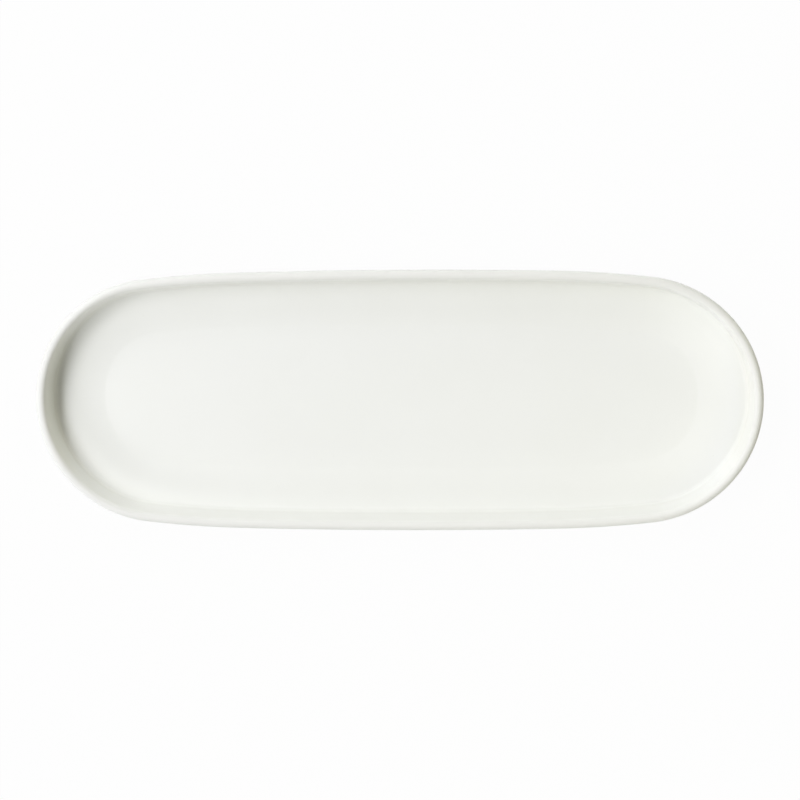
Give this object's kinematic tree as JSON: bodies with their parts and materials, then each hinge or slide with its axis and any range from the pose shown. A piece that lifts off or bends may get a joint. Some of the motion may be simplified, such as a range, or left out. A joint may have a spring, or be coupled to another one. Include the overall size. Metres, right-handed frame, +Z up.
{
  "type": "asparagus plate",
  "caption": "Long oval porcelain serving plate with a shallow well, upright round rim and low foot ring, glazed all over but for the foot.",
  "frame": {"origin": "middle of the plate on the plane that its foot ring stands on", "axes": "+X along the plate, +Y across it, +Z up out of the well"},
  "size_m": [0.36, 0.13, 0.022],
  "materials": {
    "bare_porcelain": "matte, dry fired clay",
    "clear_glaze": "glossy white, a little warm"
  },
  "bodies": {
    "root": {"porcelain_body": "bare_porcelain", "glaze_coat": "clear_glaze", "base_glaze": "clear_glaze"}
  },
  "joints": []
}
